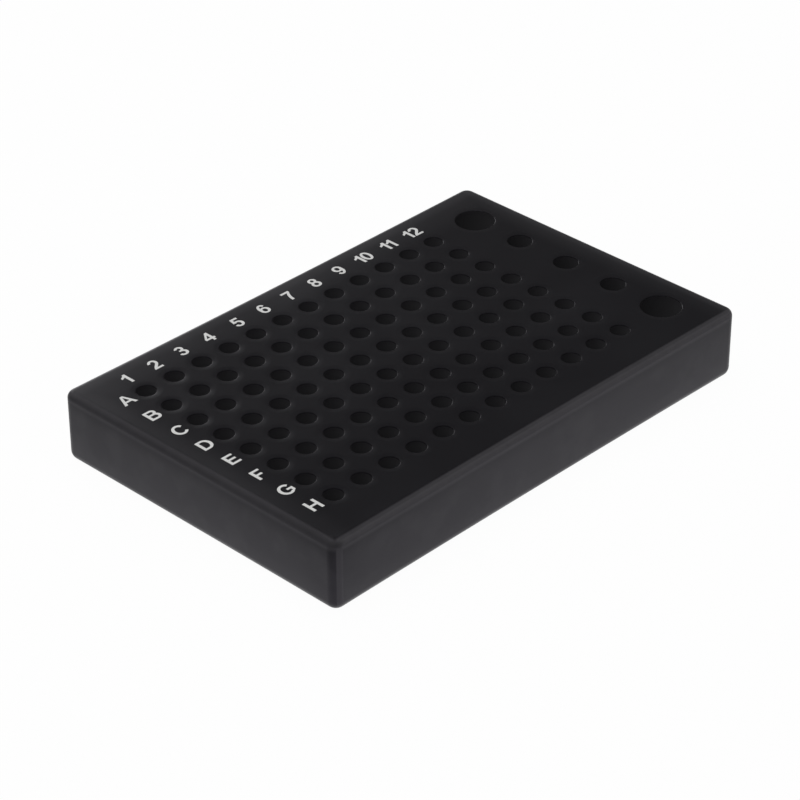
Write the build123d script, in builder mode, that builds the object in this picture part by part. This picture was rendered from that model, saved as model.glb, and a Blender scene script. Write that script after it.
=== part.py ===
from build123d import *
from math import tan, radians
import os

# Tube rack for PCR and microcentrifuge tubes: one closed moulded block with a
# field of small blind wells and one column of larger wells at its far end.
# Millimetres. The origin is the middle of the base, +X runs along the numbered
# columns from 1 to 12, +Y runs from row H to row A, and +Z is up.

# Field of small tapered wells, at the pitch of a 96-well plate
well_pitch = 9.0
column_count = 12
row_count = 8
small_well_radius = 2.45
small_well_taper = 4.5
small_well_floor = 3.5

# Column of larger wells beyond column 12: rounded lip, straight collar, cone, flat floor
end_column_gap = 15.7
end_well_count = 5
medium_well_radius = 3.2
medium_well_collar = 9.0
medium_well_taper = 11.0
large_well_radius = 5.2
large_well_collar = 11.0
large_well_taper = 26.0
end_well_floor = 3.5
lip_radius = 0.8

# Block: its height, and how far its ends and sides lie from the outermost well axes
block_height = 19.3
near_end_margin = 13.9
far_end_margin = 12.2
side_margin = 14.4

# Its sides bow in at their middles, and its edges are rounded
long_side_draw_in = 0.4
short_side_draw_in = 0.1
corner_radius = 2.8
top_edge_radius = 1.9
base_edge_radius = 2.7

# Places that follow from the sizes above
field_length = (column_count - 1) * well_pitch
field_width = (row_count - 1) * well_pitch
half_length = (near_end_margin + field_length + end_column_gap + far_end_margin) / 2
half_width = field_width / 2 + side_margin
field_centre_x = near_end_margin + field_length / 2 - half_length
end_column_x = half_length - far_end_margin
end_well_spacing = field_width / (end_well_count - 1)
small_well_depth = block_height - small_well_floor
small_floor_radius = small_well_radius - small_well_depth * tan(radians(small_well_taper))
end_well_depth = block_height - end_well_floor


# The space of one end well, with its mouth up at Z = 0
def end_well(radius, collar, taper):
    floor_radius = radius - (end_well_depth - collar) * tan(radians(taper))
    with BuildPart() as space:
        with BuildSketch(Plane.XZ):
            with BuildLine():
                Line((0, 0), (radius + lip_radius, 0))
                RadiusArc((radius + lip_radius, 0), (radius, -lip_radius), lip_radius)
                Line((radius, -lip_radius), (radius, -collar))
                Line((radius, -collar), (floor_radius, -end_well_depth))
                Line((floor_radius, -end_well_depth), (0, -end_well_depth))
                Line((0, -end_well_depth), (0, 0))
            make_face()
        revolve(axis=Axis.Z)
    return space.part


medium_well = end_well(medium_well_radius, medium_well_collar, medium_well_taper)
large_well = end_well(large_well_radius, large_well_collar, large_well_taper)

with BuildPart() as rack_body:
    with BuildSketch() as outline:
        with BuildLine():
            ThreePointArc(
                (-half_length, -half_width),
                (0, -half_width + long_side_draw_in),
                (half_length, -half_width),
            )
            ThreePointArc(
                (half_length, -half_width),
                (half_length - short_side_draw_in, 0),
                (half_length, half_width),
            )
            ThreePointArc(
                (half_length, half_width),
                (0, half_width - long_side_draw_in),
                (-half_length, half_width),
            )
            ThreePointArc(
                (-half_length, half_width),
                (-half_length + short_side_draw_in, 0),
                (-half_length, -half_width),
            )
        make_face()
        fillet(outline.vertices(), radius=corner_radius)
    extrude(amount=block_height)
    fillet(rack_body.faces().sort_by(Axis.Z)[-1].edges(), radius=top_edge_radius)
    fillet(rack_body.faces().sort_by(Axis.Z)[0].edges(), radius=base_edge_radius)

    with Locations((field_centre_x, 0, block_height)):
        with GridLocations(well_pitch, well_pitch, column_count, row_count):
            Cone(
                small_floor_radius,
                small_well_radius,
                small_well_depth,
                align=(Align.CENTER, Align.CENTER, Align.MAX),
                mode=Mode.SUBTRACT,
            )
    with Locations((end_column_x, 0, block_height)):
        with GridLocations(0, field_width, 1, 2):
            add(large_well, mode=Mode.SUBTRACT)
        with GridLocations(0, end_well_spacing, 1, end_well_count - 2):
            add(medium_well, mode=Mode.SUBTRACT)

rack_body.part.label = "rack_body"
os.makedirs("parts", exist_ok=True)
export_step(rack_body.part, "parts/rack_body.step")
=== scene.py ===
from math import cos, pi, radians, sin, tan

import bmesh
import bpy
from mathutils import Matrix, Vector


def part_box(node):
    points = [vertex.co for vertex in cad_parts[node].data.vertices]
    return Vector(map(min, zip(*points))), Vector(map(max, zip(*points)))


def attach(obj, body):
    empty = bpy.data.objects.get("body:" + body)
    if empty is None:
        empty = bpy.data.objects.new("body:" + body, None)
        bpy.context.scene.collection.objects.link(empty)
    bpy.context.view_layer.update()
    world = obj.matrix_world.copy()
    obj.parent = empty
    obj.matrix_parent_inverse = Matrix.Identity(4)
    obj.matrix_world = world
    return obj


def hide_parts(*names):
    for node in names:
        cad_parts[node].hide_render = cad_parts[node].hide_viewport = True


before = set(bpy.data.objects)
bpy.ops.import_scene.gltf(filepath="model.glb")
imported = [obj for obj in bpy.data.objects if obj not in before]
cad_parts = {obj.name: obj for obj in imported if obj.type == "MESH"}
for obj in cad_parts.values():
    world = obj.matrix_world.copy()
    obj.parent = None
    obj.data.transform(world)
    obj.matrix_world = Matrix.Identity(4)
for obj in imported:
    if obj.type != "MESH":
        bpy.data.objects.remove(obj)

# The scene is in metres. Sizes of the rack in the dictionaries are millimetres,
# those of the studio are metres unless a note says otherwise.
mm = 0.001
scene = bpy.context.scene
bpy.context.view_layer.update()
blockLow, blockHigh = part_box("rack_body")
halfLength = (blockHigh.x - blockLow.x) / 2
halfWidth = (blockHigh.y - blockLow.y) / 2
deckHeight = blockHigh.z
print("frame: block", [round(side / mm, 2) for side in blockHigh - blockLow], "mm")


class Wire:
    # One socket of a node tree. Plain arithmetic on wires adds Math nodes.
    def __init__(self, tree, socket=None):
        self.tree = tree
        self.socket = socket

    def node(self, kind, settings=None, sockets=None, out=0):
        made = self.tree.nodes.new(kind)
        for name, value in (settings or {}).items():
            if name == "items":
                while len(made.index_switch_items) < value:
                    made.index_switch_items.new()
            else:
                setattr(made, name, value)
        for name, value in (sockets or {}).items():
            target = made.inputs[name]
            for part in value if isinstance(value, list) else [value]:
                if isinstance(part, Wire):
                    self.tree.links.new(part.socket, target)
                else:
                    target.default_value = part
        return Wire(self.tree, made.outputs[out] if made.outputs else None)

    def also(self, name):
        return Wire(self.tree, self.socket.node.outputs[name])

    def maths(self, operation, first, second=None, third=None):
        sockets = {0: first}
        if second is not None:
            sockets[1] = second
        if third is not None:
            sockets[2] = third
        return self.node("ShaderNodeMath", {"operation": operation}, sockets)

    def __add__(self, other):
        return self.maths("ADD", self, other)

    def __radd__(self, other):
        return self.maths("ADD", other, self)

    def __sub__(self, other):
        return self.maths("SUBTRACT", self, other)

    def __rsub__(self, other):
        return self.maths("SUBTRACT", other, self)

    def __mul__(self, other):
        return self.maths("MULTIPLY", self, other)

    def __rmul__(self, other):
        return self.maths("MULTIPLY", other, self)

    def __truediv__(self, other):
        return self.maths("DIVIDE", self, other)

    def __rtruediv__(self, other):
        return self.maths("DIVIDE", other, self)

    def __neg__(self):
        return self.maths("MULTIPLY", self, -1.0)

    def __abs__(self):
        return self.maths("ABSOLUTE", self)

    def least(self, other):
        return self.maths("MINIMUM", self, other)

    def most(self, other):
        return self.maths("MAXIMUM", self, other)

    def ramp(self, low, high, soft=True):
        # 0 at low, 1 at high, which may be the smaller of the two
        shape = "SMOOTHSTEP" if soft else "LINEAR"
        names = {"Value": self, "From Min": low, "From Max": high}
        return self.node("ShaderNodeMapRange", {"interpolation_type": shape}, names)

    def near(self, edge, start, full):
        # 0 this many millimetres short of the edge, 1 that many
        return self.ramp(edge - start * mm, edge - full * mm)

    def share(self, under, over):
        # this much of the second colour over the first
        under, over = [part if isinstance(part, Wire) else (*part, 1.0) for part in (under, over)]
        return self.node("ShaderNodeMix", {"data_type": "RGBA"}, {0: self, 6: under, 7: over}, out=2)

    def noise(self, size, detail, roughness=0.5, distortion=0.0):
        # clouds about as wide as size, in millimetres
        return self.node("ShaderNodeTexNoise", {}, {
            "Vector": self, "Scale": 1 / (size * mm), "Detail": detail,
            "Roughness": roughness, "Distortion": distortion})


def newMaterial(name):
    material = bpy.data.materials.new(name)
    material.use_nodes = True
    material.node_tree.nodes.clear()
    return material, Wire(material.node_tree)


def newPiece(name, data):
    piece = bpy.data.objects.new(name, data)
    scene.collection.objects.link(piece)
    return piece


def pieceFrom(name, shape):
    mesh = bpy.data.meshes.new(name)
    shape.to_mesh(mesh)
    shape.free()
    return newPiece(name, mesh)


cameraValues = {
    "azimuth": -45.851,       # 0 looks along +Y
    "elevation": 32.572,
    "distance": 717.5,        # millimetres
    "roll": -0.166,
    "aimFromCentre": (-17.80, -14.92),   # millimetres along the deck
    "lens": 136.7,
    "sensor": 36.0,
    "clip": (0.01, 50.0),
}

studioValues = {
    "floorSize": 8.0,
    "floorDrop": 0.05,        # millimetres below the block
    "floorWhite": (0.86, 0.86, 0.86, 1.0),
    "floorShare": 0.975,      # how much of the floor's white is seen flat, without its shading
    # how the paper dims away from the block, as gloss mirrors it: from and to, in millimetres
    # from the block's side, and by how much
    "paperLeft": (-2.0, 40.0, 0.7),
    "paperRound": (-2.0, 45.0, 0.4),
    "ambient": 0.10,
    "boxAim": (0.0, 0.0, 0.01),
    # name: azimuth and elevation from the block, distance, width and height, brightness of its
    # face, whether it lights the block, whether it mirrors in gloss
    "boxes": {
        "softboxTop": (135.0, 84.0, 1.4, 1.2, 1.2, 3.2, True, False),
        "sheetBack": (69.0, 14.0, 1.0, 0.45, 0.45, 1.4, True, True),
        "softboxLeft": (121.0, 38.0, 1.2, 1.4, 0.72, 0.25, True, False),
    },
}


def aimed(place, aim, roll=0.0):
    turn = (Vector(aim) - Vector(place)).to_track_quat("-Z", "Y").to_matrix().to_4x4()
    return Matrix.Translation(place) @ turn @ Matrix.Rotation(radians(roll), 4, "Z")


def makeCamera(values):
    azimuth, elevation = radians(values["azimuth"]), radians(values["elevation"])
    back = Vector((sin(azimuth) * cos(elevation), -cos(azimuth) * cos(elevation), sin(elevation)))
    centre = (blockLow + blockHigh) / 2
    aimX, aimY = values["aimFromCentre"]
    aim = Vector((centre.x + aimX * mm, centre.y + aimY * mm, deckHeight))
    data = bpy.data.cameras.new("camera")
    data.lens = values["lens"]
    data.sensor_width = values["sensor"]
    data.clip_start, data.clip_end = values["clip"]
    camera = newPiece("camera", data)
    camera.matrix_world = aimed(aim + back * values["distance"] * mm, aim, values["roll"])
    scene.camera = camera
    scene.view_settings.view_transform = "Standard"


def makeFloor(values):
    half = values["floorSize"] / 2
    height = blockLow.z - values["floorDrop"] * mm
    corners = [(-half, -half), (half, -half), (half, half), (-half, half)]
    mesh = bpy.data.meshes.new("floor")
    mesh.from_pydata([(x, y, height) for x, y in corners], [], [(0, 1, 2, 3)])
    material, wire = newMaterial("floorPaper")
    path = wire.node("ShaderNodeLightPath", out="Is Camera Ray")
    seen = path.most(path.also("Is Glossy Ray")).most(path.also("Is Transmission Ray"))
    place = wire.node("ShaderNodeTexCoord", out="Object")
    x = wire.node("ShaderNodeSeparateXYZ", {}, {0: place})
    apart = (abs(x) - halfLength).most(abs(x.also("Y")) - halfWidth)
    start, end, loss = values["paperRound"]
    dimmed = apart.ramp(start * mm, end * mm) * loss
    start, end, loss = values["paperLeft"]
    dimmed = dimmed.most((-x - halfLength).ramp(start * mm, end * mm) * loss) * (1.0 - path)
    paper = wire.node("ShaderNodeBsdfDiffuse", {}, {"Color": values["floorWhite"]})
    flat = wire.node("ShaderNodeEmission", {}, {"Color": (1, 1, 1, 1), "Strength": 1.0 - dimmed})
    mixed = wire.node("ShaderNodeMixShader", {}, {0: seen * values["floorShare"], 1: paper, 2: flat})
    wire.node("ShaderNodeOutputMaterial", {}, {"Surface": mixed})
    mesh.materials.append(material)
    newPiece("floor", mesh)


def makeWorld(values):
    world = bpy.data.worlds.new("studio")
    scene.world = world
    world.use_nodes = True
    world.node_tree.nodes.clear()
    wire = Wire(world.node_tree)
    path = wire.node("ShaderNodeLightPath", out="Is Camera Ray")
    seen = path.most(path.also("Is Transmission Ray"))
    strength = seen.maths("MULTIPLY_ADD", seen, 1.0 - values["ambient"], values["ambient"])
    sky = wire.node("ShaderNodeBackground", {}, {"Color": (1, 1, 1, 1), "Strength": strength})
    wire.node("ShaderNodeOutputWorld", {}, {"Surface": sky})


def makeSoftboxes(values):
    aim = Vector(values["boxAim"])
    for name, box in values["boxes"].items():
        azimuth, elevation, distance, width, height, glow, lights, mirrored = box
        azimuth, elevation = radians(azimuth), radians(elevation)
        away = Vector((
            cos(azimuth) * cos(elevation), sin(azimuth) * cos(elevation), sin(elevation)))
        data = bpy.data.lights.new(name, "AREA")
        data.shape = "RECTANGLE"
        data.size, data.size_y = width, height
        data.energy = glow * pi * width * height
        lamp = newPiece(name, data)
        lamp.matrix_world = aimed(aim + away * distance, aim)
        lamp.visible_camera = False
        lamp.visible_diffuse = lights
        lamp.visible_glossy = mirrored


makeCamera(cameraValues)
makeFloor(studioValues)
makeWorld(studioValues)
makeSoftboxes(studioValues)
print("studio: camera, floor, world and", len(studioValues["boxes"]), "softboxes")


# outer skin of the block: sides, base and rounded edges, open at the deck
skinValues = {
    "cornerRadius": 2.8,
    "topEdgeRadius": 1.9,
    "baseEdgeRadius": 2.7,
    "longSideDrawIn": 0.4,    # how far the moulding has sunk at the middle of a side
    "shortSideDrawIn": 0.1,
    "flatRim": 0.35,          # flat ring next to each rounding, which keeps the deck's shading even
    "leastCorner": 0.03,
    "cornerSteps": 10,
    "edgeSteps": 8,
    "longSideSteps": 16,
    "shortSideSteps": 10,
    "wallSteps": 4,
}


def skinOutline(values, inset):
    # one ring of the block, anticlockwise from the +X side, pulled in by inset
    radius = max(values["cornerRadius"] * mm - inset, values["leastCorner"] * mm)
    centreX, centreY = halfLength - inset - radius, halfWidth - inset - radius
    ring = []
    for quarter, (signX, signY) in enumerate([(1, 1), (-1, 1), (-1, -1), (1, -1)]):
        for step in range(values["cornerSteps"] + 1):
            angle = (quarter + step / values["cornerSteps"]) * pi / 2
            ring.append(Vector((
                signX * centreX + radius * cos(angle), signY * centreY + radius * sin(angle))))
        if quarter % 2 == 0:
            steps, nextX, nextY = values["longSideSteps"], -signX * centreX, signY * centreY
        else:
            steps, nextX, nextY = values["shortSideSteps"], signX * centreX, -signY * centreY
        angle = (quarter + 1) * pi / 2
        start = ring[-1].copy()
        end = Vector((nextX + radius * cos(angle), nextY + radius * sin(angle)))
        for step in range(1, steps):
            ring.append(start.lerp(end, step / steps))
    for point in ring:
        alongX, alongY = point.x / halfLength, point.y / halfWidth
        point.x -= alongX * (1 - alongY ** 2) * values["shortSideDrawIn"] * mm
        point.y -= alongY * (1 - alongX ** 2) * values["longSideDrawIn"] * mm
    return ring


def makeSkin(values):
    top, base = values["topEdgeRadius"] * mm, values["baseEdgeRadius"] * mm
    rim, steps = values["flatRim"] * mm, values["edgeSteps"]
    # inset and height of each ring, from the base up
    profile = [(base + rim, blockLow.z)]
    for step in range(steps + 1):
        angle = step / steps * pi / 2
        profile.append((base * (1 - sin(angle)), blockLow.z + base * (1 - cos(angle))))
    wallLow, wallHigh = blockLow.z + base, deckHeight - top
    for step in range(1, values["wallSteps"]):
        profile.append((0.0, wallLow + (wallHigh - wallLow) * step / values["wallSteps"]))
    for step in range(steps + 1):
        angle = step / steps * pi / 2
        profile.append((top * (1 - cos(angle)), wallHigh + top * sin(angle)))
    profile.append((top + rim, deckHeight))

    shell = bmesh.new()
    rings = []
    for inset, height in profile:
        outline = skinOutline(values, inset)
        rings.append([shell.verts.new((point.x, point.y, height)) for point in outline])
    for lower, upper in zip(rings, rings[1:]):
        for here in range(len(lower)):
            after = (here + 1) % len(lower)
            shell.faces.new((lower[here], lower[after], upper[after], upper[here]))
    shell.faces.new(list(reversed(rings[0])))
    return pieceFrom("rackBlock", shell)


# satin black moulding; a pair is where a finish starts and where it is full
plasticValues = {
    "colour": (0.0088, 0.0084, 0.0097),
    "roughness": 0.36,
    "specular": 0.315,
    "specularTint": (0.88, 0.82, 1.0),
    # rounded edges, paled and polished a little by handling
    "wornColour": (0.018, 0.018, 0.020),
    "wornWidth": 1.6,
    "wornSize": 3.5,
    "wornRange": (0.42, 0.72),
    "wornShare": 0.5,
    "wornPolish": 0.06,
    # broad clouds left by the flow of the melt
    "flowSize": 22.0,
    "flowStretch": 0.45,
    "flowRange": (0.35, 0.68),
    "flowShare": 0.35,
    "flowRoughness": 0.09,
    # fine spark-eroded grain
    "grainSize": 0.28,
    "grainDepth": 0.004,
    "grainRelief": 0.5,
    "grainRoughness": 0.06,
    # painted reflection, paler towards the edges of the deck: how much, then the pair, inwards from
    # that edge
    "sheenAndPatchColour": (0.046, 0.045, 0.048),
    "sheenLong": (0.34, 16.0, 4.0),
    "sheenShort": (0.42, 9.0, 2.0),
    "sheenFarLong": (0.55, 6.0, 2.0),
    "sheenFarShort": (0.40, 4.0, 2.0),
    "sheenDown": (1.2, 0.2),
    "sheenCloud": 0.4,
    # how much of it lies all over; that and the short edges' grow towards +Y, in half widths
    "sheenWide": 0.12,
    "sheenWideSpan": (-0.6, 1.0),
    "sheenShortSpan": (-1.6, 0.2),
    # faint pale patches at random on the outer walls, in the painted reflection's colour
    "patchSize": 8.0,
    "patchRange": (0.45, 0.72),
    "patchDown": (2.0, 4.0),
    "patchShare": 0.26,
    # painted highlight along the top edge all round: pairs inwards and downwards
    "edgeHighlightColour": (0.085, 0.082, 0.088),
    "highlightIn": (1.9, 1.1),
    "highlightDown": (3.1, 1.7),
    "highlightUneven": 0.4,
    # what is left of it along the -X and -Y sides, apart from a belt along -Y
    "highlightLeft": 0.40,
    "highlightNear": 0.6,
    "highlightSides": (4.0, 1.0),
    "highlightBeltTop": (0.2, 0.6),
    "highlightBeltFoot": (1.6, 1.0),
    # on the upright corners
    "highlightCorner": 0.55,
    "highlightCornerTurn": (0.1, 0.6),
    "highlightCornerReach": 0.8,
    "highlightCornerDown": (0.0, 2.0),
    # painted light: the walls of the wells paler than the deck, from just below the lips to well
    # down
    "wellLightMouth": (0.072, 0.070, 0.076),
    "wellLightDeep": (0.078, 0.077, 0.082),
    "wellLightStart": 0.27,
    "wellLightEdge": 0.1,
    "wellLightReach": 1.8,
    "wellLightFade": (10.0, 7.0),
    "endShade": 0.12,         # the larger wells are this much darker
    "endColumn": (20.0, 19.0),
    # a few specks of dust on the deck
    "dustColour": (0.35, 0.35, 0.34),
    "dustSize": 13.0,
    "dustRadius": 0.16,
    "dustCore": 0.4,
    "dustShare": 0.035,
    "dustCover": 0.5,
    "dustBump": 2.0,
    "dustDown": (0.1, 0.0),
}


def paintedSheenMask(x, y, height, cloud, values):
    # painted reflection on the deck: strongest by the row of numbers, then by both short edges
    low, high = values["sheenWideSpan"]
    sheen = y.ramp(low * halfWidth, high * halfWidth, soft=False) * values["sheenWide"]
    low, high = values["sheenShortSpan"]
    slope = y.ramp(low * halfWidth, high * halfWidth, soft=False)
    much, *reach = values["sheenShort"]
    byShort = abs(x).near(halfLength, *reach) * slope * much
    much, *reach = values["sheenLong"]
    sheen = sheen + (y.near(halfWidth, *reach) * much).most(byShort)
    much, *reach = values["sheenFarLong"]
    sheen = sheen + y.near(halfWidth, *reach) * much
    much, *reach = values["sheenFarShort"]
    sheen = sheen + x.near(halfLength, *reach) * much
    uneven = 1.0 + (cloud - 0.5) * values["sheenCloud"]
    return sheen * height.near(deckHeight, *values["sheenDown"]) * uneven


# painted highlight along the rounded top edge and on the upright corners
def edgeHighlightMask(x, y, height, edgeNoise, values):
    # how far in from the long sides, which bow in, and from the short ones
    bow = 1.0 - (x / halfLength) * (x / halfLength)
    fromLong = halfWidth - abs(y) - bow * (skinValues["longSideDrawIn"] * mm)
    fromShort = halfLength - abs(x)
    start, full = values["highlightIn"]
    highlight = fromLong.least(fromShort).ramp(start * mm, full * mm)
    highlight = highlight * height.near(deckHeight, *values["highlightDown"])
    highlight = highlight * (1.0 + (edgeNoise - 0.5) * values["highlightUneven"])
    belt = height.near(deckHeight, *values["highlightBeltFoot"]).least(
        height.near(deckHeight, *values["highlightBeltTop"]))
    left = (-x).near(halfLength, *values["highlightSides"]) * (1.0 - values["highlightLeft"])
    near = (-y).near(halfWidth, *values["highlightSides"]) * (1.0 - belt) * (1.0 - values["highlightNear"])
    highlight = highlight * (1.0 - left).least(1.0 - near)
    start, full = values["highlightCornerTurn"]
    radius = skinValues["cornerRadius"] * mm
    corner = (fromShort - fromLong).ramp(start * mm, full * mm) * values["highlightCorner"]
    corner = corner * fromShort.ramp(radius, radius * values["highlightCornerReach"])
    return highlight.most(corner * height.near(deckHeight, *values["highlightCornerDown"]))


def wellLightMask(x, y, height, values):
    # painted light inside the wells, away from the outer walls
    edge = skinValues["topEdgeRadius"]
    within = abs(x).near(halfLength, edge, 2 * edge).least(abs(y).near(halfWidth, edge, 2 * edge))
    start = values["wellLightStart"]
    down = height.near(deckHeight, start, start + values["wellLightEdge"])
    down = down * height.near(deckHeight, *values["wellLightFade"])
    atEnd = x.near(halfLength, *values["endColumn"]) * values["endShade"]
    return within * down * (1.0 - atEnd)


def makePlastic(values):
    material, wire = newMaterial("satinBlackPlastic")
    place = wire.node("ShaderNodeTexCoord", out="Object")
    x = wire.node("ShaderNodeSeparateXYZ", {}, {0: place})
    y, height = x.also("Y"), x.also("Z")

    width = values["wornWidth"]
    endOn, sideOn = abs(x).near(halfLength, width, 0), abs(y).near(halfWidth, width, 0)
    topOn = height.near(deckHeight, width, 0)
    edge = endOn.least(topOn).most(sideOn.least(topOn)).most(endOn.least(sideOn))
    edgeNoise = place.noise(values["wornSize"], 4.0, 0.65)
    worn = edge * edgeNoise.ramp(*values["wornRange"])

    stretch = values["flowStretch"]
    drawn = wire.node("ShaderNodeMapping", {}, {"Vector": place, "Scale": (stretch, stretch, 1.0)})
    cloud = drawn.noise(values["flowSize"], 3.0, 0.55, 0.4).ramp(*values["flowRange"])
    patch = place.noise(values["patchSize"], 2.0).ramp(*values["patchRange"])
    patch = patch * height.near(deckHeight, *values["patchDown"])
    grain = place.noise(values["grainSize"], 2.0)

    cells = wire.node("ShaderNodeTexVoronoi", {"feature": "F1"}, {
        "Vector": place, "Scale": 1 / (values["dustSize"] * mm), "Randomness": 1.0})
    pick = wire.node("ShaderNodeSeparateColor", {}, {0: cells.also("Color")})
    chosen = pick.maths("LESS_THAN", pick, values["dustShare"])
    reach = values["dustRadius"] / values["dustSize"]
    speck = cells.ramp(reach, reach * values["dustCore"]) * chosen
    speck = speck * height.near(deckHeight, *values["dustDown"])

    colour = (worn * values["wornShare"]).share(values["colour"], values["wornColour"])
    colour = (cloud * values["flowShare"]).share(colour, values["wornColour"])
    # painted reflection, paler towards the far and short edges of the deck
    colour = paintedSheenMask(x, y, height, cloud, values).share(colour, values["sheenAndPatchColour"])
    colour = (patch * values["patchShare"]).share(colour, values["sheenAndPatchColour"])
    # painted highlight along the top edge
    colour = edgeHighlightMask(x, y, height, edgeNoise, values).share(colour, values["edgeHighlightColour"])
    # painted light inside the wells, paler than the deck
    start = values["wellLightStart"]
    deep = height.near(deckHeight, start, start + values["wellLightReach"])
    wellLight = deep.share(values["wellLightMouth"], values["wellLightDeep"])
    colour = wellLightMask(x, y, height, values).share(colour, wellLight)
    colour = (speck * values["dustCover"]).share(colour, values["dustColour"])

    roughness = values["roughness"] + (cloud - 0.5) * values["flowRoughness"]
    roughness = roughness + (grain - 0.5) * values["grainRoughness"] - worn * values["wornPolish"]
    relief = wire.node("ShaderNodeBump", {}, {
        "Strength": values["grainRelief"], "Distance": values["grainDepth"] * mm,
        "Height": grain + speck * values["dustBump"]})
    shader = wire.node("ShaderNodeBsdfPrincipled", {}, {
        "Base Color": colour, "Roughness": roughness, "Normal": relief,
        "Specular IOR Level": values["specular"],
        "Specular Tint": (*values["specularTint"], 1.0)})
    wire.node("ShaderNodeOutputMaterial", {}, {"Surface": shader})
    return material


# wells, sunk into the skin, and the deck between them
wellValues = {
    "Pitch": 9.0,
    "Columns": 12,
    "Rows": 8,
    "First Inset": 13.9,      # column 1 from the block's end
    "End Gap": 15.7,          # column 12 to the column of larger wells
    "End Wells": 5,
    "Dish": 0.05,             # the deck sinks this much towards each mouth
    "Dish Width": 1.35,
    "Dish Bend": 7.0,
    "Flat Rim": 0.3,
    "Lip Guard": 0.12,        # short ring under the lip, which keeps the wall's shading upright
    "Floor Round": 0.6,
    "Around": 40,
    "Bend Steps": 5,
    "Hub": 0.01,              # the ring that a well's profile is swept round
    "Liner Weld": 0.001,
    "Deck Weld": 0.002,
    # radius, straight part, depth, radius at the floor, rounding of the lip
    "Small": (2.46, 1.2, 15.8, 2.46 - 14.6 * tan(radians(4.5)), 0.26),
    "Medium": (3.2, 9.0, 15.8, 3.2 - 6.8 * tan(radians(11.0)), 0.26),
    "Large": (5.2, 11.0, 15.8, 5.2 - 4.8 * tan(radians(26.0)), 0.3),
}
wellKinds = ["Small", "Medium", "Large"]
wellSizes = ["Radius", "Straight", "Depth", "Floor Radius", "Lip"]
sharedSizes = ["Dish", "Dish Width", "Dish Bend", "Flat Rim", "Lip Guard", "Floor Round", "Hub",
               "Liner Weld"]
sharedCounts = ["Around", "Bend Steps"]


def newTree(name, floats, counts=(), geometry=False):
    tree = bpy.data.node_groups.new(name, "GeometryNodeTree")
    inputs = [("Geometry", "Geometry")] if geometry else []
    inputs += [(label, "Int") for label in counts] + [(label, "Float") for label in floats]
    for label, kind in inputs:
        tree.interface.new_socket(label, in_out="INPUT", socket_type="NodeSocket" + kind)
    tree.interface.new_socket("Geometry", in_out="OUTPUT", socket_type="NodeSocketGeometry")
    return tree, Wire(tree).node("NodeGroupInput")


def wellLiner():
    # the inside of one well: dished rim, lip, straight bore, taper and floor, turned round its axis
    tree, given = newTree("wellLiner", wellSizes + sharedSizes, sharedCounts)
    wire = Wire(tree)
    radius, depth, lip = given.also("Radius"), given.also("Depth"), given.also("Lip")
    dish, slope, hub = given.also("Dish"), given.also("Dish Width"), given.also("Hub")
    brim = radius + lip + slope
    sunk = dish * (lip + slope) / slope
    # how far from the axis, how far down, and the rounding there
    profile = [
        (brim + given.also("Flat Rim"), 0.0, 0.0),
        (brim, 0.0, given.also("Dish Bend")),
        (radius, sunk, lip),
        (radius, sunk + lip + given.also("Lip Guard"), 0.0),
        (radius, given.also("Straight"), 0.0),
        (given.also("Floor Radius"), depth, given.also("Floor Round")),
        (0.0, depth, 0.0),
    ]
    index = wire.node("GeometryNodeInputIndex")
    places, bends = {"Index": index}, {"Index": index}
    for number, (across, down, rounding) in enumerate(profile, 1):
        places[number] = wire.node("ShaderNodeCombineXYZ", {}, {0: across - hub, 1: down})
        bends[number] = rounding
    count = len(profile)
    place = wire.node("GeometryNodeIndexSwitch", {"data_type": "VECTOR", "items": count}, places)
    bend = wire.node("GeometryNodeIndexSwitch", {"data_type": "FLOAT", "items": count}, bends)
    line = wire.node("GeometryNodeMeshLine", {}, {"Count": count})
    line = wire.node("GeometryNodeSetPosition", {}, {"Geometry": line, "Position": place})
    line = wire.node("GeometryNodeMeshToCurve", {}, {"Mesh": line})
    line = wire.node("GeometryNodeFilletCurve", {"mode": "POLY"}, {
        "Curve": line, "Count": given.also("Bend Steps"), "Radius": bend})
    ring = wire.node("GeometryNodeCurvePrimitiveCircle", {}, {
        "Resolution": given.also("Around"), "Radius": hub})
    turned = wire.node("GeometryNodeCurveToMesh", {}, {"Curve": ring, "Profile Curve": line})
    closed = wire.node("GeometryNodeMergeByDistance", {}, {
        "Geometry": turned, "Distance": given.also("Liner Weld")})
    wire.node("NodeGroupOutput", {}, {"Geometry": closed})
    return tree


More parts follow.
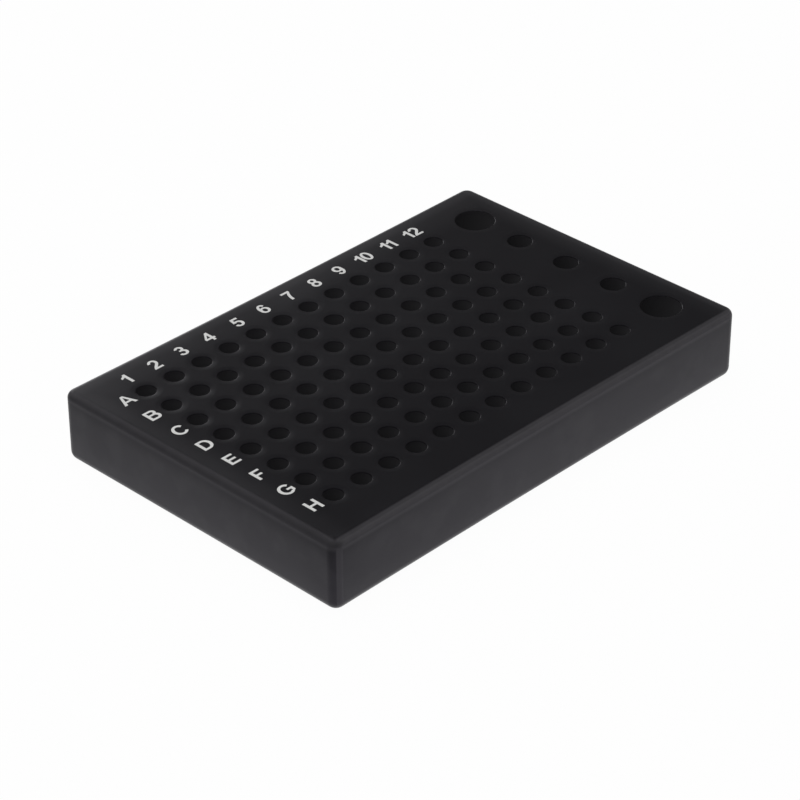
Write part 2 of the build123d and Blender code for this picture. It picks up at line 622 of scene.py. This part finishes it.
def wellField(liner, material):
    # rows, columns and the end column of wells, and the deck between them
    counts = ["Columns", "Rows", "End Wells"] + sharedCounts
    floats = ["Deck Height", "First X", "Pitch", "End Gap", "Deck Weld"] + sharedSizes
    floats += [kind + " " + size for kind in wellKinds for size in wellSizes]
    tree, given = newTree("wellField", floats, counts, geometry=True)
    wire = Wire(tree)
    liners = {}
    for kind in wellKinds:
        sockets = {size: given.also(kind + " " + size) for size in wellSizes}
        sockets.update({shared: given.also(shared) for shared in sharedSizes + sharedCounts})
        liners[kind] = wire.node("GeometryNodeGroup", {"node_tree": liner}, sockets)

    pitch, deck = given.also("Pitch"), given.also("Deck Height")
    columns, rows = given.also("Columns"), given.also("Rows")
    length, width = (columns - 1) * pitch, (rows - 1) * pitch
    grid = wire.node("GeometryNodeMeshGrid", {}, {
        "Size X": length, "Size Y": width, "Vertices X": columns, "Vertices Y": rows})
    middle = wire.node("ShaderNodeCombineXYZ", {}, {
        0: given.also("First X") + length / 2, 2: deck})
    grid = wire.node("GeometryNodeSetPosition", {}, {"Geometry": grid, "Offset": middle})
    small = wire.node("GeometryNodeInstanceOnPoints", {}, {
        "Points": grid, "Instance": liners["Small"]})

    # end column: a large well at either end, medium ones between
    count = given.also("End Wells")
    endX = given.also("First X") + length + given.also("End Gap")
    start = wire.node("ShaderNodeCombineXYZ", {}, {0: endX, 1: width / -2.0, 2: deck})
    step = wire.node("ShaderNodeCombineXYZ", {}, {1: width / (count - 1)})
    line = wire.node("GeometryNodeMeshLine", {}, {
        "Count": count, "Start Location": start, "Offset": step})
    index = wire.node("GeometryNodeInputIndex")
    inner = index.maths("MODULO", index, count - 1)
    isMedium = inner.maths("GREATER_THAN", inner, 0.5)
    medium = wire.node("GeometryNodeInstanceOnPoints", {}, {
        "Points": line, "Instance": liners["Medium"], "Selection": isMedium})
    large = wire.node("GeometryNodeInstanceOnPoints", {}, {
        "Points": line, "Instance": liners["Large"], "Selection": 1.0 - isMedium})

    bores = wire.node("GeometryNodeJoinGeometry", {}, {"Geometry": [small, medium, large]})
    bores = wire.node("GeometryNodeRealizeInstances", {}, {"Geometry": bores})
    shell = wire.node("GeometryNodeJoinGeometry", {}, {"Geometry": [given.also("Geometry"), bores]})
    # the deck fills what lies between the open rims
    sides = wire.node("GeometryNodeInputMeshEdgeNeighbors")
    rim = wire.node("FunctionNodeCompare", {"data_type": "INT", "operation": "EQUAL"}, {
        2: sides, 3: 1})
    outline = wire.node("GeometryNodeMeshToCurve", {}, {"Mesh": shell, "Selection": rim})
    deckFace = wire.node("GeometryNodeFillCurve", {"mode": "TRIANGLES"}, {"Curve": outline})
    lift = wire.node("ShaderNodeCombineXYZ", {}, {2: deck})
    deckFace = wire.node("GeometryNodeSetPosition", {}, {"Geometry": deckFace, "Offset": lift})
    whole = wire.node("GeometryNodeJoinGeometry", {}, {"Geometry": [shell, deckFace]})
    whole = wire.node("GeometryNodeMergeByDistance", {}, {
        "Geometry": whole, "Distance": given.also("Deck Weld")})
    whole = wire.node("GeometryNodeSetShadeSmooth", {}, {"Geometry": whole, "Shade Smooth": True})
    whole = wire.node("GeometryNodeRealizeInstances", {}, {"Geometry": whole})
    whole = wire.node("GeometryNodeSetMaterial", {}, {"Geometry": whole, "Material": material})
    wire.node("NodeGroupOutput", {}, {"Geometry": whole})
    return tree


def runNodes(piece, tree, values):
    # the tree's inputs are set before it first runs, and its result becomes the piece's own mesh
    modifier = piece.modifiers.new(tree.name, "NODES")
    modifier.node_group = tree
    for item in tree.interface.items_tree:
        if item.in_out == "INPUT" and item.name in values:
            modifier[item.identifier] = values[item.name]
    bpy.context.view_layer.update()
    graph = bpy.context.evaluated_depsgraph_get()
    result = bpy.data.meshes.new_from_object(piece.evaluated_get(graph))
    piece.modifiers.clear()
    piece.data = result


def tidyFaces(piece):
    # faces turned outwards; an open edge has any number of faces but two
    mesh = bmesh.new()
    mesh.from_mesh(piece.data)
    bmesh.ops.recalc_face_normals(mesh, faces=mesh.faces[:])
    if mesh.calc_volume(signed=True) < 0:
        bmesh.ops.reverse_faces(mesh, faces=mesh.faces[:])
    openEdges = sum(1 for edge in mesh.edges if len(edge.link_faces) != 2)
    triangles = sum(len(face.verts) - 2 for face in mesh.faces)
    mesh.to_mesh(piece.data)
    mesh.free()
    print(piece.name, "triangles", triangles, "open edges", openEdges)


def sinkWells(block, values):
    plastic = makePlastic(plasticValues)
    inputs = {name: values[name] for name in ["Columns", "Rows", "End Wells"] + sharedCounts}
    for name in ["Pitch", "End Gap", "Deck Weld"] + sharedSizes:
        inputs[name] = values[name] * mm
    inputs["Deck Height"] = deckHeight
    inputs["First X"] = -halfLength + values["First Inset"] * mm
    for kind in wellKinds:
        for label, size in zip(wellSizes, values[kind]):
            inputs[kind + " " + label] = size * mm
    runNodes(block, wellField(wellLiner(), plastic), inputs)


block = makeSkin(skinValues)
sinkWells(block, wellValues)
tidyFaces(block)
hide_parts("rack_body")
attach(block, "root")


# printed row letters and column numbers
labelValues = {
    "capHeight": 4.0,
    "gap": 0.065,             # between the two figures of a number, in cap heights
    "inkDepth": 0.03,
    "inkSunk": 0.03,
    "numberLine": 7.15,       # middle of the numbers from row A
    "letterLine": -6.2,       # middle of the letters from column 1
    "arcStep": 12.0,          # degrees
    "weld": 0.0005,
    # small wanderings of the print from the columns and rows
    "numberShift": (0.1, 0.1, -0.2, -0.3, 0.45, 0.3, 0.2, 0.1, -0.2, -0.3, -0.4, -0.55),
    "letterShift": (0.15, -0.2, -0.5, -0.35, -0.1, -0.1, 0.0, 0.15),
}

# Letters and figures are joined from bars, slabs and bands, one cap height tall.
# bar: left, low, right, high
# slab: corner points
# band: centre, outer radii, first and last angle, thickness across and up
glyphs = {
    "A": (1.0, [
        ("slab", (0, 0), (0.215, 0), (0.55, 1), (0.39, 1)),
        ("slab", (0.785, 0), (1, 0), (0.61, 1), (0.45, 1)),
        ("bar", 0.2, 0.225, 0.8, 0.39)]),
    "B": (0.86, [
        ("bar", 0, 0, 0.2, 1), ("bar", 0.1, 0.835, 0.51, 1), ("bar", 0.1, 0.445, 0.53, 0.6),
        ("bar", 0.1, 0, 0.55, 0.165),
        ("band", (0.51, 0.735), (0.29, 0.265), -90, 90, (0.195, 0.165)),
        ("band", (0.55, 0.3), (0.31, 0.3), -90, 90, (0.205, 0.165))]),
    "C": (0.95, [("band", (0.49, 0.5), (0.49, 0.515), 35, 325, (0.21, 0.17))]),
    "D": (0.88, [
        ("bar", 0, 0, 0.2, 1), ("bar", 0.1, 0.835, 0.42, 1), ("bar", 0.1, 0, 0.42, 0.165),
        ("band", (0.41, 0.5), (0.47, 0.5), -90, 90, (0.21, 0.165))]),
    "E": (0.76, [
        ("bar", 0, 0, 0.2, 1), ("bar", 0.1, 0.83, 0.74, 1), ("bar", 0.1, 0.425, 0.69, 0.59),
        ("bar", 0.1, 0, 0.76, 0.17)]),
    "F": (0.69, [
        ("bar", 0, 0, 0.2, 1), ("bar", 0.1, 0.83, 0.69, 1), ("bar", 0.1, 0.41, 0.6, 0.575)]),
    "G": (0.98, [
        ("band", (0.5, 0.5), (0.5, 0.515), 38, 312, (0.21, 0.17)),
        ("slab", (0.78, 0.1), (0.97, 0.2), (0.97, 0.5), (0.78, 0.5)),
        ("slab", (0.66, -0.005), (0.83, 0.105), (0.83, 0.27), (0.7, 0.17)),
        ("bar", 0.53, 0.385, 0.97, 0.55)]),
    "H": (0.83, [
        ("bar", 0, 0, 0.2, 1), ("bar", 0.63, 0, 0.83, 1), ("bar", 0.1, 0.42, 0.73, 0.59)]),
    "0": (0.7, [("band", (0.35, 0.5), (0.35, 0.515), 0, 360, (0.2, 0.16))]),
    "1": (0.47, [
        ("bar", 0.27, 0, 0.47, 1),
        ("slab", (0.36, 1), (0.31, 1), (0.23, 0.89), (0.12, 0.8), (0, 0.745),
         (0, 0.575), (0.15, 0.635), (0.36, 0.76))]),
    "2": (0.7, [
        ("band", (0.355, 0.685), (0.335, 0.33), -35, 172, (0.2, 0.16)),
        ("slab", (0, 0), (0.045, 0.135), (0.07, 0.17), (0.7, 0.17), (0.7, 0)),
        ("slab", (0.045, 0.135), (0.15, 0.28), (0.3, 0.42), (0.43, 0.54), (0.5, 0.63),
         (0.61, 0.53), (0.625, 0.49), (0.57, 0.41), (0.46, 0.31), (0.35, 0.22), (0.305, 0.17),
         (0.28, 0.1), (0.1, 0.1))]),
    "3": (0.7, [
        ("band", (0.345, 0.735), (0.3, 0.28), -90, 165, (0.195, 0.15)),
        ("band", (0.35, 0.29), (0.35, 0.305), -168, 90, (0.205, 0.155)),
        ("bar", 0.22, 0.455, 0.37, 0.6)]),
    "4": (0.75, [
        ("bar", 0.44, 0, 0.63, 1), ("bar", 0, 0.21, 0.75, 0.375),
        ("slab", (0, 0.3), (0, 0.375), (0.465, 1), (0.55, 1), (0.55, 0.9), (0.45, 0.75),
         (0.185, 0.375), (0.185, 0.3))]),
    "5": (0.7, [
        ("bar", 0.14, 0.83, 0.655, 1),
        ("slab", (0.03, 0.475), (0.21, 0.5), (0.235, 0.62), (0.285, 0.9), (0.285, 1), (0.13, 1)),
        ("band", (0.345, 0.325), (0.355, 0.34), -168, 140, (0.205, 0.155))]),
    "6": (0.71, [
        ("band", (0.36, 0.325), (0.35, 0.34), 0, 360, (0.195, 0.15)),
        ("band", (0.375, 0.5), (0.365, 0.515), 38, 200, (0.195, 0.155)),
        ("bar", 0.011, 0.32, 0.2, 0.5)]),
    "7": (0.68, [
        ("bar", 0, 0.83, 0.68, 1),
        ("slab", (0.68, 0.9), (0.68, 0.86), (0.55, 0.67), (0.44, 0.42), (0.385, 0.2), (0.37, 0),
         (0.17, 0), (0.185, 0.2), (0.25, 0.45), (0.345, 0.67), (0.47, 0.86))]),
    "8": (0.7, [
        ("band", (0.35, 0.74), (0.3, 0.275), 0, 360, (0.185, 0.145)),
        ("band", (0.35, 0.295), (0.35, 0.31), 0, 360, (0.2, 0.155))]),
}


def glyphParts(glyph):
    # a 9 is a 6 turned half round
    if glyph == "9":
        width, parts = glyphParts("6")
        return width, [[(width - x, 1 - y) for x, y in part] for part in parts]
    width, shapes = glyphs[glyph]
    parts = []
    for shape in shapes:
        if shape[0] == "bar":
            left, low, right, high = shape[1:]
            parts.append([(left, low), (right, low), (right, high), (left, high)])
        elif shape[0] == "slab":
            parts.append(list(shape[1:]))
        else:
            (x, y), (across, up), first, last, (thickX, thickY) = shape[1:]
            steps = round((last - first) / labelValues["arcStep"])
            angles = [radians(first + (last - first) * n / steps) for n in range(steps + 1)]
            outer = [(x + across * cos(a), y + up * sin(a)) for a in angles]
            inner = [(x + (across - thickX) * cos(a), y + (up - thickY) * sin(a)) for a in angles]
            for n in range(steps):
                parts.append([outer[n], outer[n + 1], inner[n + 1], inner[n]])
    return width, parts


def addPrism(mesh, corners, low, high):
    # upright, on a flat outline whose corners may run either way round
    area = sum(a[0] * b[1] - b[0] * a[1] for a, b in zip(corners, corners[1:] + corners[:1]))
    if area < 0:
        corners = corners[::-1]
    under = [mesh.verts.new((x, y, low)) for x, y in corners]
    over = [mesh.verts.new((x, y, high)) for x, y in corners]
    mesh.faces.new(list(reversed(under)))
    mesh.faces.new(over)
    for here in range(len(corners)):
        after = (here + 1) % len(corners)
        mesh.faces.new((under[here], under[after], over[after], over[here]))


def printLabel(mesh, text, x, y, values):
    # text centred on x and y
    cap = values["capHeight"] * mm
    low = deckHeight - values["inkSunk"] * mm
    high = deckHeight + values["inkDepth"] * mm
    widths = [glyphParts(glyph)[0] for glyph in text]
    across = (sum(widths) + values["gap"] * (len(text) - 1)) * cap
    left = x - across / 2
    for glyph, width in zip(text, widths):
        for part in glyphParts(glyph)[1]:
            flat = [(left + px * cap, y - cap / 2 + py * cap) for px, py in part]
            addPrism(mesh, flat, low, high)
        left += (width + values["gap"]) * cap


def makeLabels(values):
    firstX = -halfLength + wellValues["First Inset"] * mm
    pitch = wellValues["Pitch"] * mm
    rowA = (wellValues["Rows"] - 1) * pitch / 2
    mesh = bmesh.new()
    for column, shift in enumerate(values["numberShift"]):
        printLabel(mesh, str(column + 1), firstX + column * pitch + shift * mm,
                   rowA + values["numberLine"] * mm, values)
    for row, shift in enumerate(values["letterShift"]):
        printLabel(mesh, "ABCDEFGH"[row], firstX + values["letterLine"] * mm,
                   rowA - row * pitch + shift * mm, values)
    bmesh.ops.triangulate(mesh, faces=mesh.faces[:])
    return pieceFrom("deckLabels", mesh)


def inkUnion(material):
    # the overlapping bars, slabs and bands become one closed mark a glyph
    tree, given = newTree("inkUnion", ["Weld"], geometry=True)
    wire = Wire(tree)
    joined = wire.node("GeometryNodeMeshBoolean", {"operation": "UNION", "solver": "EXACT"}, {
        "Mesh 2": given, "Self Intersection": True})
    joined = wire.node("GeometryNodeMergeByDistance", {}, {
        "Geometry": joined, "Distance": given.also("Weld")})
    joined = wire.node("GeometryNodeRealizeInstances", {}, {"Geometry": joined})
    joined = wire.node("GeometryNodeSetMaterial", {}, {"Geometry": joined, "Material": material})
    wire.node("NodeGroupOutput", {}, {"Geometry": joined})
    return tree


inkValues = {
    "colour": (0.80, 0.80, 0.79),
    "thinColour": (0.62, 0.62, 0.62),    # where the ink is thin
    "thinRange": (0.55, 0.8),
    "spreadSize": 0.6,
    "roughness": 0.5,
    "spreadRoughness": 0.2,
    "specular": 0.4,
    "relief": 0.4,
    "reliefDepth": 0.01,
}


def makeInk(values):
    material, wire = newMaterial("whiteInk")
    place = wire.node("ShaderNodeTexCoord", out="Object")
    spread = place.noise(values["spreadSize"], 3.0, 0.6)
    colour = spread.ramp(*values["thinRange"]).share(values["colour"], values["thinColour"])
    relief = wire.node("ShaderNodeBump", {}, {
        "Strength": values["relief"], "Distance": values["reliefDepth"] * mm, "Height": spread})
    shader = wire.node("ShaderNodeBsdfPrincipled", {}, {
        "Base Color": colour,
        "Roughness": values["roughness"] + (spread - 0.5) * values["spreadRoughness"],
        "Normal": relief, "Specular IOR Level": values["specular"]})
    wire.node("ShaderNodeOutputMaterial", {}, {"Surface": shader})
    return material


labels = makeLabels(labelValues)
runNodes(labels, inkUnion(makeInk(inkValues)), {"Weld": labelValues["weld"] * mm})
tidyFaces(labels)
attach(labels, "root")
print("labels printed")
